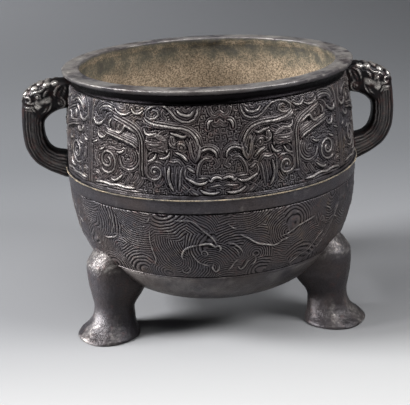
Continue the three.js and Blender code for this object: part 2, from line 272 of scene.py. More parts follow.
def piece(name, points, material, **layers):
    """Closed mesh over an array of rings (ring, place round it, xyz) in millimetres: four-sided
    faces between neighbouring rings and one flat face at each end. Layers become attributes."""
    rings, count = points.shape[:2]
    shift = np.array([0, context_sizes().axis_y, 0])
    place = np.clip(points / MM + shift, CAD_LOW, CAD_HIGH)
    index = np.arange(rings * count).reshape(rings, count)
    ahead = np.roll(index, -1, 1)
    quads = np.stack([index[:-1], ahead[:-1], ahead[1:], index[1:]], -1).reshape(-1, 4)
    ends = [index[0][::-1], index[-1]]
    if outward(points)[1] < 0:
        quads = quads[:, ::-1]
        ends = [end[::-1] for end in ends]
    mesh = bpy.data.meshes.new(name)
    mesh.vertices.add(rings * count)
    mesh.vertices.foreach_set("co", place.ravel())
    mesh.loops.add(quads.size + 2 * count)
    mesh.loops.foreach_set("vertex_index", np.concatenate([quads.ravel(), *ends]))
    mesh.polygons.add(len(quads) + 2)
    starts = np.concatenate([np.arange(len(quads)) * 4, quads.size + np.array([0, count])])
    mesh.polygons.foreach_set("loop_start", starts)
    mesh.update(calc_edges=True)
    if mesh.validate():
        raise RuntimeError(f"{name}: the mesh had faults")
    mesh.shade_smooth()
    for layer in ("relief", "wear", "crust"):
        values = np.broadcast_to(layers.get(layer, 0.0), (rings, count)).astype(np.float32)
        mesh.attributes.new(layer, "FLOAT", "POINT").data.foreach_set("value", values.ravel())
    mesh.materials.append(material)
    obj = bpy.data.objects.new(name, mesh)
    bpy.context.collection.objects.link(obj)
    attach(obj, "root")
    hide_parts("ding_vessel")


def context_sizes():
    """The sizes panel of the scene."""
    return bpy.context.scene.ding_sizes


def belly(z, inset=0.0):
    """Half-width of the belly, a superellipse under its widest part:
    radius * (1 - (drop / depth)^2.45)^(1 / 2.9), both smaller by the inset."""
    radius = context_sizes().belly_radius * MM - inset
    drop = np.clip(np.abs(BELLY_Z - z) / (BELLY_DEPTH - inset), 0, 1)
    return radius * (1 - drop ** BELLY_POWERS[0]) ** (1 / BELLY_POWERS[1])


def wall(z):
    """Radius of the plain wall: the belly, and above the ridge a shoulder that draws in by
    7.7 * (share of the way from the ridge to the lip)^1.6."""
    up = np.clip((z - RIDGE_Z) / (LIP_Z - RIDGE_Z), 0, None)
    shoulder = context_sizes().belly_radius * MM - SHOULDER_DROP * up**SHOULDER_POWER
    return np.where(z < RIDGE_Z, belly(z), shoulder)


# ------------------------------------------------------------------ bowl

def course(r, z, relief=0.45, wear=0.0, crust=0.0):
    """Rows (r, z, relief shade, wear and highlight, crust) of one stretch of the bowl's profile.
    A low relief shade paints shade; a high one paints bare metal on crests, partly painted highlight.
    """
    return np.stack(np.broadcast_arrays(r, z, relief, wear, crust), -1).astype(float)


def bowl_profile():
    """Profile of the bowl from the middle of the underside, up the outside, over the lip and down
    the inside. Behind a frieze it stands back, so that the frieze's own surface shows. The bands are
    given as (height, distance from the plain wall, relief shade), the lip in the rows that course makes.
    A relief shade of 0 paints nearly black shade: the lip's shadow under the lip and on the neck, and
    shade in the grooves at the friezes' edges. On the cord it rises to 1, which paints bare metal."""
    sizes = context_sizes()
    rim, mouth, top = (size * MM for size in (sizes.rim_radius, sizes.mouth_radius, sizes.height))
    fall = np.linspace(0.004, 1, 400)
    base_z = BELLY_Z - BELLY_DEPTH * np.cos(fall * np.arccos((BELLY_Z - BASE_TOP) / BELLY_DEPTH))
    # The underside's wear of 0.15 paints a sheen of bare metal on it: a painted reflection of the floor.
    base = course(belly(base_z) - BASE_SUNK, base_z, 0.5, 0.15)
    # Rows with a relief shade of 0 at the friezes' edges paint shade in the grooves where the friezes tuck
    # in.
    low = np.array([
        (59.2, -0.9, 0.0), (59.5, -0.1, 0.5), (59.9, 0.2, 0.6), (60.4, 0.0, 0.5), (60.8, -0.8, 0.0),
    ])
    behind_low = np.linspace(61.2, 111.4, 14)
    # The cord's crest, relief shade up to 1, is painted bare metal, partly wear and partly painted
    # highlight.
    middle = np.array([
        (111.9, -1.2, 0.0), (112.3, -0.8, 0.0), (112.7, 0.15, 0.4), (113.2, 0.5, 0.5), (116, 0.42, 0.45),
        (119, 0.4, 0.45), (120.6, 0.42, 0.45), (121.3, 0.6, 0.45), (121.7, 0.95, 0.5), (121.95, 1.5, 0.75),
        (122.2, 1.85, 0.95), (122.5, 2.0, 1.0), (122.8, 1.85, 0.95), (123.05, 1.4, 0.6), (123.25, 0.4, 0.1),
        (123.6, -0.1, 0.3), (124.0, -0.2, 0.4), (124.5, -0.2, 0.4), (125.1, -0.4, 0.3), (125.6, -1.0, 0.1),
    ])
    behind_high = np.linspace(126, 186, 12)
    # Painted shadow of the lip: the neck's rows have a relief shade of 0, which paints them nearly black.
    neck = np.array([
        (186.7, -1.4, 0.0), (186.95, -1.1, 0.0), (187.3, -0.8, 0.0), (187.8, -0.8, 0.0), (188.2, -1.2, 0.0),
        (189.4, -1.3, 0.0), (190.6, -1.1, 0.0),
    ])
    # The lip's underside rows have a relief shade of 0: painted shadow under the lip.
    lip = np.array([
        (rim - 6.9, 192.2, 0, 0, 0), (rim - 6.4, 193.4, 0, 0, 0), (rim - 5.0, 194.15, 0, 0, 0),
        (rim - 2.2, 194.3, 0, 0, 0), (rim - 1.2, 194.6, 0.3, 0, 0), (rim - 0.4, 195.2, 0.46, 0.05, 0.1),
        (rim - 0.1, 196.4, 0.5, 0.15, 0.2), (rim, 197.2, 0.5, 0.25, 0.2),
        (rim - 0.35, top - 0.25, 0.65, 0.5, 0.15), (rim - 1.1, top, 0.55, 0.5, 0.15),
        (rim - 4, top - 0.1, 0.5, 0.42, 0.3), (mouth + 3.5, top - 0.1, 0.5, 0.42, 0.3),
        (mouth + 1.2, top - 0.05, 0.5, 0.4, 0.15), (mouth + 0.3, top - 0.4, 0.5, 0.3, 0.25),
        (mouth, top - 1.2, 0.5, 0.2, 0.4), (mouth + 0.1, 195.6, 0.45, 0, 0.6),
        (mouth + 0.5, 194.2, 0.45, 0, 0.65), (mouth + 1.2, 192.2, 0.45, 0, 0.68),
    ])
    inner_z = np.linspace(190.4, BELLY_Z, 30)
    crusted = 0.58 + 0.42 * ease(-inner_z, -188, -162)
    inner = course(wall(inner_z) - WALL_THICKNESS - GROUND_SUNK / 2, inner_z, 0.45, 0, crusted)
    floor_z = BELLY_Z - (BELLY_DEPTH - WALL_THICKNESS) * np.sin(np.linspace(0, 1, 300) * np.pi / 2)
    hollow = course(belly(floor_z, WALL_THICKNESS), floor_z, 0.4, 0, 1)[1:-1]
    foot, belt, neck = (
        course(wall(rows[:, 0]) + rows[:, 1], rows[:, 0], rows[:, 2]) for rows in (low, middle, neck)
    )
    # pale earth along the cord
    belt[:, 4] = 0.8 * ease(-np.abs(middle[:, 0] - 122.6), -0.8, -0.2)
    return np.vstack([
        even(base, 26), foot,
        course(wall(behind_low) - WAVE_SUNK - 0.5, behind_low), belt,
        course(wall(behind_high) - GROUND_SUNK - 0.55, behind_high), neck,
        even(lip, 36),
        even(np.vstack([inner, hollow]), 48),
    ])


def make_bowl():
    """The bowl: its profile turned round the axis, then roughened along its normals by value noise,
    finely outside and coarsely under the crust inside. Small nicks pull in the lip's outer edge. The
    roughness fades out towards the axis, where the rings close up."""
    profile = bowl_profile()
    angles = np.linspace(0, 2 * np.pi, 280, endpoint=False)
    points = about_axis(angles, profile[:, 0, None], profile[:, 1, None])
    relief, wear, crust = (np.repeat(profile[:, i, None], len(angles), 1) for i in (2, 3, 4))
    normal, _ = outward(points)
    fade = np.clip(profile[:, 0] / 12, 0, 1)[:, None]
    rough = 0.10 * grain(points, 7, 1) + 0.05 * grain(points, 2.2, 2)
    coarse = 0.34 * grain(points, 6.5, 3) + 0.2 * grain(points, 2.6, 4) - 0.2
    lift = (rough + (coarse - rough) * ease(crust, 0.2, 0.6)) * fade
    edge = ease(profile[:, 0], 108, 110)[:, None] * ease(profile[:, 1], 193, 195)[:, None]
    nicks = ease(grain(points, 5, 5) + 0.35 * grain(points, 1.7, 6), 0.45, 0.8)
    lift = lift - edge * (0.25 + 0.9 * nicks)
    points = points + normal * lift[..., None]
    # The relief shade, with a little noise: painted shade where it is low, bare metal and painted highlight
    # where high.
    shade = np.clip(relief + 0.2 * grain(points, 3, 7) * ease(relief, 0, 0.3), 0, 1)
    wear = wear * (0.6 + 0.8 * grain(points, 9, 8) + 0.5 * grain(points, 2, 9)).clip(0, 1.4)
    finish = bpy.data.materials["bronze_patina"]
    piece("bowl_shell", points, finish, relief=shade, wear=wear, crust=crust)


# ------------------------------------------------------------------ friezes

MASK_LINES = [
    # nose and muzzle
    ([(3.4, 26.6), (4.2, 30.4), (7.8, 33.2), (12, 32.7), (15, 30.2)], TWIN),
    ([(5.6, 27.6), (3.8, 25.4), (2.6, 22.6), (4.8, 20.8)], FINE),
    ([(7.6, 26.2), (11, 27), (14, 25), (16.2, 21), (17, 17), (16.4, 13.8)], THIN),
    ([(14.4, 36.6), (14.2, 33), (15.2, 28.4), (17.7, 24.4)], BOLD),
    ([(17.7, 24.4), (19.8, 27.4), (20.9, 31.6), (22, 36.4), (24.2, 39.8)], THIN),
    # brow
    ([(14.5, 34.5), (16.4, 40), (20.3, 44.7), (26, 47.1), (34, 48.1), (42, 48.9), (49, 50.4),
      (54, 53.6)], TWIN),
    ([(22, 42.4), (26, 45), (31, 46.1), (37, 46), (41.6, 44), (42.8, 41.6), (39.4, 40.5), (36.4, 41.6),
      (34.6, 43.6)], FINE),
    ([(22.4, 42.8), (26, 41.6), (30, 43), (34.6, 44)], BOLD),
    # eye
    ([(23.4, 33.6), (25.6, 36.6), (28.6, 37.2), (31, 35.4)], THIN),
    (arc((27, 34.6), 2.3, -180, 170), FINE),
    ([(22.4, 25.4), (25.2, 28.2), (28, 30), (31.2, 31.2)], BOLD),
    ([(30.2, 34.2), (33, 34.9), (35.1, 37.2), (35.4, 40.6)], BOLD),
    # cheek
    ([(35.6, 32), (36.6, 28.6), (39, 26.8), (43, 26.7)], BOLD),
    ([(38, 29.2), (43, 31), (46.8, 31.2), (49.8, 29), (51, 26)], THIN),
    ([(44.6, 29.8), (46.4, 26.2), (49, 24.4), (51.8, 23.8)], BOLD),
    ([(40.6, 36.2), (45.4, 35.5), (50.8, 36)], BOLD),
    ([(43.6, 43.6), (47.6, 42.6), (51.8, 43.2), (53.6, 46.4)], BOLD),
    # strands of the beard
    ([(26.2, 21.6), (27.6, 17), (28.3, 10.5), (29.2, 4.6)], THIN),
    ([(29.8, 22), (30.7, 14), (30.9, 5.8)], FINE),
    ([(32.9, 21.4), (33.3, 14), (32.6, 8)], FINE),
    ([(35.4, 21.6), (35.6, 14), (34.5, 8), (32.4, 4)], BOLD),
    ([(38.6, 22.6), (37.9, 17), (37.3, 12), (36, 7)], THIN),
    ([(26.6, 22), (29.4, 25), (33, 24.5), (37.4, 25.4)], THIN),
    ([(23.8, 20.6), (24.8, 16.4), (23.4, 12.6)], THIN),
    # cheek scroll
    (spiral((45.6, 16.8), 1.3, 8.0, -112, 1.7), THIN),
    ([(39.6, 21.6), (37.6, 24.4), (36.2, 28)], THIN),
    ([(39.2, 13.6), (41, 9.6), (43.8, 7.2)], ((0, 0.55, 0.85), (1.8, 0.55, 0.85))),
    # mouth
    ([(10, 11.8), (12.6, 10.2), (16, 9.9), (20, 11.4), (24.8, 14.2)], BOLD),
    ([(9.4, 13.3), (13, 13.7), (18, 13.4)], THIN),
    ([(0, 12.2), (3.2, 13.6), (6.2, 13), (7.8, 11.2), (9.8, 12.6)], BOLD),
    ([(18.4, 17.8), (20.8, 19.3), (23, 21)], BOLD),
    ([(2.4, 3.5), (7, 2.6), (12, 3.3), (15.6, 5.8)], BOLD),
    ([(5.4, 5.2), (10, 5), (14, 7.2)], FINE),
    ([(0, 7.4), (3, 8.4), (6.4, 7.8), (10.6, 7.4)], THIN),
    ([(15.2, 0.8), (18.6, 2.8), (21.6, 5.2)], THIN),
    ([(19.8, 8.6), (23.4, 11.8)], THIN),
    ([(24.6, 5), (28, 8.6)], THIN),
    # horn: a lying S with a curl in each bend
    ([(14.2, 61), (14.8, 57), (17.2, 53.2), (21, 51.4), (26, 51.6), (30.4, 53.9), (34, 57.5),
      (37.8, 60.6), (43, 61.7), (48.4, 60.6), (52, 57.6), (52.2, 54.2), (49, 52.8), (45.2, 53.2),
      (42.4, 55.4), (43.4, 58), (46.4, 58.7), (48.6, 57)], THIN),
    ([(16.2, 60.4), (18, 56.4), (21.4, 53.7), (26, 53.9), (30, 56.4), (33.2, 60)], FINE),
    ([(17.4, 58.8), (19.4, 56.3), (23, 55.5), (27, 56.5), (29.6, 59)], BOLD),
    ([(20.6, 58.9), (23.4, 57.8), (26.4, 59.6)], FINE),
    ([(36.8, 57), (39.6, 58.6), (40.4, 55), (38, 52.6)], FINE),
    # forehead
    ([(0, 56.4), (3, 54.6), (5.6, 55.8), (6.8, 59.4)], FINE),
    ([(5, 51.6), (7.2, 51.2), (8.5, 48.9), (8.7, 45.8)], BOLD),
    ([(0, 50.4), (2.2, 48.6), (4.6, 49)], FINE),
]

DRAGON_LINES = [
    # back, rising from the uprights
    ([(54.7, 12.6), (54.8, 26), (55, 37), (57.2, 42.4), (61.2, 46.2), (67, 48.9), (74, 51.6),
      (80.4, 53.6)], BACK),
    ([(51.4, 34.6), (51.5, 28), (51.2, 18), (52, 12.6)], THIN),
    # crest
    ([(54.6, 58), (57.6, 56), (61.4, 56), (64.4, 59)], BOLD),
    ([(64.4, 56.6), (67.6, 54.9), (71.2, 54.6), (75, 55.8), (78.2, 58.4)], BOLD),
    ([(69.4, 58.8), (73, 58.6), (76.8, 61)], THIN),
    ([(56.4, 53.4), (59.6, 54), (62.6, 52.4), (65, 51)], FINE),
    # eye
    (arc((74.6, 46.2), 2.8, 0, 350, 24), FINE),
    ([(60.4, 42.6), (65, 45.6), (69.2, 46.8), (71, 43.8), (74, 42.2), (78.4, 43)], BOLD),
    ([(79, 49.8), (80.4, 46.6), (79.6, 43.6)], FINE),
    ([(81.2, 51.4), (83, 48), (82.2, 44.6)], BOLD),
    # jaw
    ([(58.4, 31.6), (62, 34.4), (67, 36.1), (73, 38), (80, 39.6), (87.6, 41.2)], TRIPLE),
    ([(86.4, 39.6), (88.4, 37), (91.8, 36.8), (94.4, 38.8), (94.6, 41.4)], BOLD),
    ([(88.4, 43), (91.6, 42.4), (95.4, 43.4)], FINE),
    # mane, a great curl behind the head
    ([(78.6, 57.2), (83, 58.6), (88, 58.3), (92.4, 56), (95.2, 52)], TRIPLE),
    ([(79.6, 54.8), (83.6, 54.2), (86.8, 51.4), (88.2, 47)], THIN),
    ([(85.6, 55.4), (88.6, 53.4), (90.4, 50.4)], FINE),
    ([(88.6, 49.8), (90.8, 47.2), (94.6, 45.8), (98.2, 46.4), (100.2, 49.6)], ((0, 1.25, 1.6),)),
    ([(91.8, 50.6), (94.2, 48.7), (97, 49.4)], FINE),
    ([(98.4, 61.6), (101.2, 56), (101.6, 50), (101, 44)], THIN),
    # small scroll
    (arc((65.6, 25), 2.7, 110, 300), FINE), (arc((65.6, 25), 4.6, 115, 295), FINE),
    (arc((65.6, 25), 6.5, 120, 290), FINE), (arc((65.6, 25), 8.5, 130, 300), THIN),
    ([(69.2, 29.8), (72.2, 28.1), (76.6, 28.1)], BOLD),
    ([(66.6, 20.4), (70, 20.8), (71.6, 24)], FINE),
    ([(67.4, 16.6), (71, 18.4), (73, 22.6), (74, 26)], THIN),
    # great spiral
    (spiral((85, 21), 1.5, 9.4, 50, 1.75), ((0, 0.85, 1.35), (2.2, 0.5, 0.85))),
    ([(77.6, 29), (82, 29.6), (87, 27.8)], FINE),
    ([(88, 29.8), (91.2, 28.1), (94.6, 27.4)], BOLD),
    ([(94.6, 17), (97.6, 20), (98.4, 24.6)], THIN),
    ([(96.4, 33.6), (99, 32.2), (101.8, 31)], BOLD),
    ([(90.4, 34), (94, 32), (97, 28.8)], FINE),
    # waves along the foot
    ([(56, 1.4), (66, 1.5), (78, 2.3), (90, 2), (99, 1.4)], THIN),
    ([(61, 3.7), (68, 3.9), (76, 4.7), (82, 3.8), (90, 4.5), (99, 3.6)], BOLD),
    ([(55.4, 10), (57.6, 7), (60.4, 4.8)], ((0, 0.55, 0.85), (1.7, 0.55, 0.85))),
    ([(82.6, 12.4), (87, 9), (91.4, 6)], FINE),
    ([(93.4, 8), (97, 10.6), (101, 9.4)], THIN),
    ([(64.4, 13), (66.8, 9.6), (69.4, 6)], FINE),
    ([(71.6, 12.6), (75.4, 9.4), (79.4, 7.8), (82.6, 8.6)], BOLD),
    ([(58.6, 14.6), (60.2, 11.4), (62.8, 8.8)], FINE),
    # border of the panel
    ([(103.4, -1), (103.4, 31), (103.4, 64)], FINE),
]

MASK_PADS = [
    ([(15, 37), (15, 31), (17.7, 25), (20.2, 30), (21.6, 36), (20, 41)], 0.6),
    ([(16, 38), (22, 45), (34, 47.5), (50, 50), (54, 52), (52, 47), (42, 46.5), (30, 46.4),
      (22, 41.5)], 0.55),
    ([(36.6, 31.6), (50.6, 32), (51.2, 41.6), (44, 43.4), (37.6, 39.6)], 0.8),
    ([(30.6, 35), (33.8, 36), (35, 42), (31.2, 41.4)], 0.6),
]
DRAGON_PADS = [
    ([(57.4, 36), (59, 32.4), (67, 36.4), (82, 40.4), (86, 44.8), (78, 43.4), (66, 42.4),
      (60, 41)], 0.45),
    ([(78, 55), (88, 55.6), (94, 52), (90, 57.6), (84, 58.4)], 0.5),
]
MASK_BOSSES = [
    ((27, 34.6), 1.1, 1.2), ((75, 46), 1.2, 1.2), ((91.2, 54.6), 1.5, 1.3), ((45.8, 16.8), 1.2, 1.3),
]

WAVE_LINES = [
    ([(10, 38), (16, 34.5), (22, 30), (28, 27.5), (36, 25.5), (42, 28), (49, 30)], ((0, 0.6, 0.7),)),
    ([(40, 31), (47, 33), (55, 37), (62, 38.5), (70, 40.5)], ((0, 0.6, 0.65),)),
    ([(50, 6), (60, 11), (66, 13), (72, 18), (76, 22), (83, 26.5)], ((0, 0.6, 0.7), (1.6, 0.45, 0.5))),
    ([(66, 4), (76, 12), (84, 20), (92, 31), (99, 44)], ((0, 0.6, 0.65), (1.9, 0.5, 0.5))),
    ([(80, 45), (84, 43), (90, 39)], ((0, 0.6, 0.6),)),
    ([(85, 31), (92, 34), (100, 30)], ((0, 0.6, 0.6),)),
    ([(2, 47), (6, 43.5), (9, 42)], ((0, 0.6, 0.6),)),
    ([(-35, 49.5), (-22, 49), (-15, 43), (-8, 36), (-5, 30)], ((0, 0.6, 0.65),)),
    ([(-28.3, 19), (-30.4, 20.4), (-30, 24), (-27.6, 27.6), (-23.1, 30),
      (-18.3, 31)], ((0, 0.75, 0.75),)),
    ([(-18.3, 31), (-14, 32), (-9.7, 32), (-6.9, 30), (-4.1, 30.4), (-2.8, 28),
      (-4.5, 25)], ((0, 0.8, 0.8),)),
    ([(-24.3, 25), (-21.7, 20.4), (-18.3, 16.5), (-14, 14.7), (-9.7, 14)], ((0, 0.6, 0.6),)),
    ([(-8.8, 16), (-9.7, 12), (-7.6, 8.8), (-5.2, 10.6), (-4.8, 15)], ((0, 0.75, 0.75),)),
    ([(0.7, 32), (5.9, 31.5), (10.2, 27.5), (12.4, 23)], ((0, 0.7, 0.7),)),
    ([(1.7, 29.6), (5.9, 28.2), (8.4, 25), (9.8, 20.4)], ((0, 0.5, 0.55),)),
    ([(0.7, 7.4), (4.5, 12), (7.6, 16.5), (10.2, 17.5)], ((0, 0.6, 0.6),)),
    ([(9.3, 12), (11.7, 9.2), (14.5, 12), (16.2, 15.5), (18.6, 16.5)], ((0, 0.7, 0.7),)),
    ([(18, 12), (20.7, 13), (22.4, 16.5), (21.7, 19)], ((0, 0.7, 0.7),)),
    ([(-33, 12), (-31, 8), (-27, 8.5), (-26, 12), (-28, 13)], ((0, 0.55, 0.55),)),
    ([(-52, 42), (-53, 33), (-52, 25), (-51, 18), (-54, 12)], ((0, 0.55, 0.6),)),
    ([(-84, 48), (-83, 40), (-86, 35), (-87, 31)], ((0, 0.55, 0.6),)),
    ([(-97, 28), (-90, 29), (-83, 31), (-80, 34)], ((0, 0.6, 0.65),)),
    ([(-58, 46), (-54, 47), (-52, 50), (-50, 51)], ((0, 0.6, 0.6),)),
    ([(-60, 43), (-54, 44)], ((0, 0.6, 0.6),)),
    *(([(s, 10), (s + 0.6, 16)], ((0, 0.5, 0.5),)) for s in (-18, -16, -14, -12)),
]
WAVE_EYES = [((-14.5, 24.4), 2.1), ((78, 36), 1.9)]

# The beast's head on the handle: lines and bosses on its cheeks as (distance from the axis, height)
HEAD_LINES = [
    ([(140.2, 171), (136, 170.3), (130, 171.5), (124.4, 175), (121, 177),
      (117.5, 177)], ((0, 0.75, 1.0),)),
    ([(140, 168.8), (135, 168.4), (131, 169), (128, 171), (125, 173.5), (118, 175.4)], ((0, 0.7, 0.9),)),
    ([(118.5, 175), (119.5, 171), (121.5, 168), (124, 165.5)], FINE),
    ([(121.5, 171.5), (124, 168), (127, 165)], FINE),
    ([(110.6, 186.6), (114, 184.2), (116, 180.2), (117, 177.6)], ((0, 0.7, 1.0),)),
    ([(110, 184.6), (112, 181.4), (113.6, 178)], FINE),
    ([(107, 186.4), (108.4, 181.6), (110.6, 177.4)], FINE),
    (arc((113, 173), 2.2, 60, 290), ((0, 0.55, 0.75),)),
    (arc((113, 173), 4.2, 80, 300), ((0, 0.6, 0.85),)),
    ([(126, 176.4), (130, 174.4), (134.6, 173.6), (138.6, 174.4)], FINE),
    (arc((129, 178.4), 2.3, 0, 330), ((0, 0.55, 0.8),)),
    (arc((136.3, 176.2), 2.0, 0, 340), ((0, 0.55, 0.8),)),
    ([(120, 183.6), (122.8, 181.2), (124.6, 177.6)], ((0, 0.65, 0.9),)),
    ([(122.4, 185.2), (126, 182.8), (131, 181.6), (134, 179.6)], ((0, 0.7, 1.0),)),
    ([(117, 125.6), (120, 126.4), (122.6, 129.4)], ((0, 0.55, 0.7),)),
    ([(115, 128.6), (118, 129.4), (120, 132.2)], ((0, 0.55, 0.7),)),
    ([(120.4, 123.6), (123.4, 125), (125.6, 128.4)], ((0, 0.55, 0.7),)),
]
HEAD_BOSSES = [((129, 178.4), 1.2, 1.3), ((113, 173), 1.0, 0.9), ((139.2, 178.6), 1.6, 1.0)]
# Domes that stand on the head, mirrored to its other side: place, radius and height
HEAD_DOMES = [
    ((138.2, 4.4, 180.2), 3.0, 1.3), ((131.4, 7.2, 185.2), 3.0, 1.5), ((127, 3.2, 187.2), 2.8, 1.2),
    ((121.4, 7.8, 187.6), 3.2, 1.5), ((121, 2.6, 189), 2.6, 1.0), ((115.4, 8.2, 188.4), 3.0, 1.2),
    ((134.4, 2.2, 183.6), 2.2, 1.0), ((141.4, 3.0, 176), 2.4, 0.8),
]


def mask_height(s, t):
    """Height of the mask frieze over its ground, for half a panel with s from 0 to PANEL_REACH.
    Thunder pattern fills the open ground, and fine lines echo the edges of the drawn lines as
    0.5 - 0.5 * cos(2 pi distance / 1.6). The pads, lines and bosses of the mask and the dragon stand
    over both on a skirt that slopes away."""
    lines = np.zeros_like(s)
    gap = np.full_like(s, 9.0)
    for points, section in MASK_LINES + DRAGON_LINES:
        stamp(lines, s, t, points, section, gap)
    base = np.zeros_like(s)
    for outline, height in MASK_PADS + DRAGON_PADS:
        pad(base, s, t, outline, height)
    echo = 0.5 - 0.5 * np.cos(2 * np.pi * np.clip(gap, 0, None) / ECHO_PITCH)
    far = ease(gap, ECHO_REACH - 0.7, ECHO_REACH - 0.1)
    base = 1.5 * base + 0.35 * (1 - ease(gap, 0, ECHO_PITCH))
    field = base + 0.65 * echo * (1 - far) + 0.75 * thunder(s, t) * far
    field = np.maximum(field, lines + 0.6 * base)
    for middle, radius, height in MASK_BOSSES:
        np.maximum(field, dome(np.hypot(s - middle[0], t - middle[1]), radius, height), out=field)
    return field


def blurred(field, steps):
    """The field averaged over a window of so many samples each way, by two passes of running sums."""
    width = 2 * steps
    for axis in (0, 1, 0, 1):
        before, after = (np.take(field, [edge] * steps, axis) for edge in (0, -1))
        total = np.cumsum(np.concatenate([before, field, after], axis), axis)
        size = total.shape[axis]
        field = np.take(total, range(width, size), axis) - np.take(total, range(size - width), axis)
        field = field / width
    return field


def frieze(name, middle, half, columns, heights, sunk, field_at, back_rows, contrast):
    """A slab of frieze, from its middle so many degrees each way. In front it is the sunken wall
    lifted along its normal by the height field, and its plain back lies inside the wall. Its upper
    and lower edges tuck under the bands. Its relief shade is 0.42 + contrast * (height - mean height
    round about), and falls 1.7 times as fast as it rises: low, it paints shade in the hollows; high,
    it paints the crests as bare metal, partly wear and partly painted highlight."""
    angles = np.radians(np.linspace(middle - half, middle + half, columns))[:, None]
    z = heights[None, :]
    radius = wall(z) - sunk
    lean = np.gradient(wall(heights), heights)[None, :]
    flat = about_axis(angles, radius, z)
    field = field_at(flat, angles + 0 * z, z + 0 * angles)
    tuck = 1 - ease(z, heights[0], heights[0] + TUCK) * ease(-z, -heights[-1], TUCK - heights[-1])
    lift = field * (1 - tuck) - tuck + 0.06 * grain(flat, 1.6, 11)
    tilt = 1 / np.sqrt(1 + lean**2)
    front = about_axis(angles, radius + lift * tilt, z - lift * lean * tilt)
    back_z = np.linspace(heights[-1], heights[0], back_rows)
    back = about_axis(angles, wall(back_z) - sunk - SLAB_DEPTH, back_z)
    points = np.concatenate([front, back], 1)
    step = field - blurred(field, 3)
    shade = np.clip(0.42 + contrast * np.where(step < 0, 1.7, 1) * step, 0, 1)
    relief = np.concatenate([shade, np.zeros((columns, back_rows))], 1)
    # Bare metal on the high crests: partly wear, partly painted highlight.
    wear = 0.45 * ease(relief, 0.6, 0.95) * ease(grain(points, 16, 12), -0.3, 0.8)
    piece(name, points, bpy.data.materials["bronze_frieze"], relief=relief, wear=wear)


def mask_field(flat, angles, z):
    """The mask's height round the whole vessel. Front and back carry a mask with a dragon on either
    side. From PANEL_HALF degrees on, the dragons come back mirrored and meet behind the handles. A
    slow warp and an uneven wear keep the two halves from being exact mirror images."""
    turn = np.degrees(np.abs((angles + np.pi) % (2 * np.pi) - np.pi))
    turn = np.minimum(turn, 180 - turn)
    middle = np.where(turn <= PANEL_HALF, turn, 2 * PANEL_HALF - turn)
    s = np.radians(middle) * PANEL_SCALE
    t = z - MASK_FOOT
    calm = ease(s, 0, 6) * ease(PANEL_REACH - s, 0, 6)
    s = s + calm * (0.8 * grain(flat, 17, 21) + 0.3 * grain(flat, 6, 22))
    t = t + 0.7 * grain(flat, 19, 23) + 0.25 * grain(flat, 6, 24)
    field = mask_height(s, t) * (0.9 + 0.2 * grain(flat, 20, 25))
    seam = dome(s, 0.5, 0.45) + dome(s - PANEL_REACH - 0.4, 0.6, 0.5)
    return np.maximum(field, seam)


def make_mask_friezes():
    """Four slabs of the mask frieze: front and back, and the two short ones behind the handles."""
    heights = np.linspace(*MASK_FRIEZE, 142)
    side = 90 - PANEL_HALF
    spans = {"front": (0, PANEL_HALF, 524), "right": (90, side, 242),
             "back": (180, PANEL_HALF, 370), "left": (270, side, 242)}
    for name, span in spans.items():
        frieze("mask_frieze_" + name, *span, heights, GROUND_SUNK, mask_field, 4, 0.85)


def wave_field(flat, angles, z):
    """Rolling waves: the wall is parted into cells, each nearest to one scattered point, and each
    cell is filled with rings about a point of its own some way off, so that bundles of curved
    parallel lines meet. The rings are 0.27 * (1 + cos(2 pi distance / 1.65)) high. Thin raised lines
    of spray, cloud and small creatures lie over them and come back every third of a turn."""
    rng = np.random.default_rng(31)
    turns = np.linspace(0, 2 * np.pi, 30, endpoint=False)[:, None] + rng.uniform(-0.09, 0.09, (30, 3))
    rows = np.array([66, 85, 104]) + rng.uniform(-8, 8, (30, 3))
    cells = about_axis(turns, belly(rows), rows).reshape(-1, 3)
    way = rng.normal(size=cells.shape)
    way = way / np.linalg.norm(way, axis=1, keepdims=True)
    centres = cells + way * rng.uniform(8, 30, (len(cells), 1))
    bent = flat + 1.5 * np.stack([grain(flat, 10, seed) for seed in (32, 33, 34)], -1)
    nearest = np.full(flat.shape[:2], 1e9)
    ring = np.zeros(flat.shape[:2])
    for cell, centre in zip(cells, centres):
        gap = ((bent - cell) ** 2).sum(-1)
        closer = gap < nearest
        ring = np.where(closer, np.sqrt(((bent - centre) ** 2).sum(-1)), ring)
        nearest = np.where(closer, gap, nearest)
    ripple = ring + 0.3 * grain(flat, 3.6, 35)
    strong = 0.75 + 0.35 * grain(flat, 13, 36)
    field = 0.27 * strong * (1 + np.cos(2 * np.pi * ripple / RIPPLE_PITCH))
    third = 2 * np.pi / 3
    s = ((angles + third / 2) % third - third / 2) * PANEL_SCALE + 0.5 * grain(flat, 8, 37)
    t = z - WAVE_FOOT + 0.5 * grain(flat, 8, 38)
    for points, section in WAVE_LINES:
        raised = [(offset, half, 1.25 * height) for offset, half, height in section]
        stamp(field, s, t, points, raised)
    for middle, radius in WAVE_EYES:
        distance = np.hypot(s - middle[0], t - middle[1])
        np.maximum(field, dome(distance - radius, 0.5, 0.6), out=field)
        np.maximum(field, dome(distance, radius * 0.45, 0.6), out=field)
    return field * (0.9 + 0.2 * grain(flat, 18, 39) + 0.22 * grain(flat, 2.4, 40))


def make_wave_friezes():
    """Four quarter slabs of the wave frieze."""
    heights = np.linspace(*WAVE_FRIEZE, 122)
    spans = {"front": (0, 45, 400), "right": (90, 45, 312),
             "back": (180, 45, 290), "left": (270, 45, 312)}
    for name, span in spans.items():
        frieze("wave_frieze_" + name, *span, heights, WAVE_SUNK, wave_field, 8, 1.15)


# ------------------------------------------------------------------ legs

